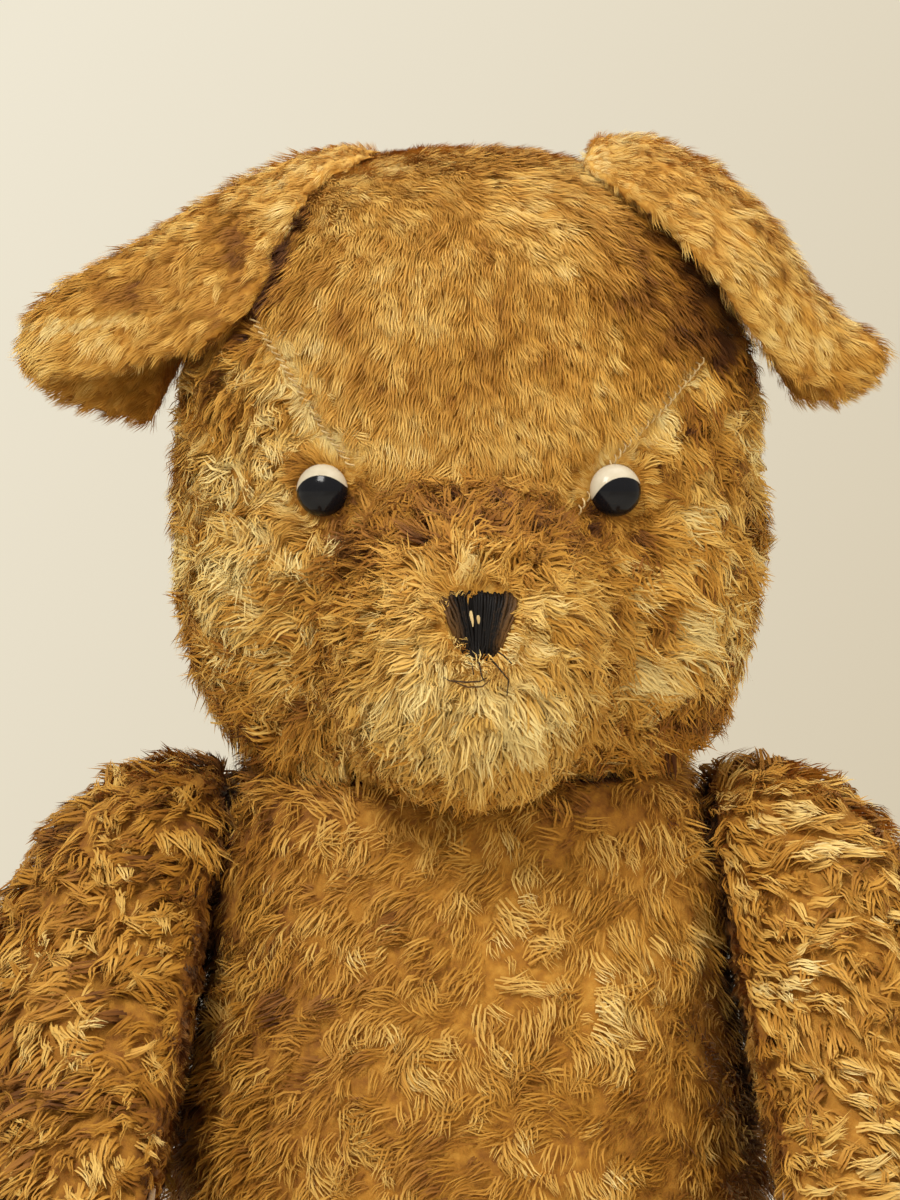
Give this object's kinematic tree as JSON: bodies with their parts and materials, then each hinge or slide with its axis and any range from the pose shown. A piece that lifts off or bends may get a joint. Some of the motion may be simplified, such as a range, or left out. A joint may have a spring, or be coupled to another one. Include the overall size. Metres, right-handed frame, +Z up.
{
  "type": "jointed teddy bear",
  "caption": "Worn jointed teddy bear in gold mohair, seated, with big floppy ears, a round muzzle, glass eyes and a stitched nose.",
  "frame": {"origin": "centre of the flat underside of the body, on the surface the bear sits on", "axes": "+Z up, -Y the way the bear faces, +X towards the bear's own left"},
  "size_m": [0.3802, 0.3212, 0.4638],
  "materials": {
    "mohair": "matte",
    "felt": "matte",
    "eye_glass": "gloss",
    "black_thread": "satin",
    "hardboard": "matte",
    "steel_wire": "satin"
  },
  "bodies": {
    "torso": {"torso": "mohair", "neck_body_disc": "hardboard", "neck_body_washer": "steel_wire", "neck_pin": "steel_wire", "shoulder_left_body_disc": "hardboard", "shoulder_left_body_washer": "steel_wire", "shoulder_left_pin": "steel_wire", "shoulder_right_body_disc": "hardboard", "shoulder_right_body_washer": "steel_wire", "shoulder_right_pin": "steel_wire", "hip_left_body_disc": "hardboard", "hip_left_body_washer": "steel_wire", "hip_left_pin": "steel_wire", "hip_right_body_disc": "hardboard", "hip_right_body_washer": "steel_wire", "hip_right_pin": "steel_wire"},
    "head": {"head": "mohair", "ear_left": "mohair", "ear_right": "mohair", "eye_left": "eye_glass", "eye_right": "eye_glass", "eye_loop_left": "steel_wire", "eye_loop_right": "steel_wire", "nose_stitching": "black_thread", "mouth_stitch": "black_thread", "neck_limb_disc": "hardboard", "neck_limb_washer": "steel_wire"},
    "arm_left": {"arm_left": "mohair", "paw_pad_left": "felt", "shoulder_left_limb_disc": "hardboard", "shoulder_left_limb_washer": "steel_wire"},
    "arm_right": {"arm_right": "mohair", "paw_pad_right": "felt", "shoulder_right_limb_disc": "hardboard", "shoulder_right_limb_washer": "steel_wire"},
    "leg_left": {"leg_left": "mohair", "foot_pad_left": "felt", "hip_left_limb_disc": "hardboard", "hip_left_limb_washer": "steel_wire"},
    "leg_right": {"leg_right": "mohair", "foot_pad_right": "felt", "hip_right_limb_disc": "hardboard", "hip_right_limb_washer": "steel_wire"}
  },
  "joints": [
    {"name": "neck_turn", "type": "hinge", "parent": "torso", "child": "head", "pos_m": [0, 0, 0.263], "axis": [0, -0.2079, 0.9781], "continuous": true},
    {"name": "shoulder_left_swing", "type": "hinge", "parent": "torso", "child": "arm_left", "pos_m": [0.084, 0, 0.215], "axis": [-0.9863, 0, -0.165], "range_deg": [-1, 65]},
    {"name": "shoulder_right_swing", "type": "hinge", "parent": "torso", "child": "arm_right", "pos_m": [-0.084, 0, 0.215], "axis": [-0.9863, 0, 0.165], "range_deg": [-1, 65]},
    {"name": "hip_left_swing", "type": "hinge", "parent": "torso", "child": "leg_left", "pos_m": [0.097, 0, 0.045], "axis": [0.9877, 0.1564, 0], "range_deg": [-1.5, 95]},
    {"name": "hip_right_swing", "type": "hinge", "parent": "torso", "child": "leg_right", "pos_m": [-0.097, 0, 0.045], "axis": [0.9877, -0.1564, 0], "range_deg": [-1.5, 95]}
  ]
}
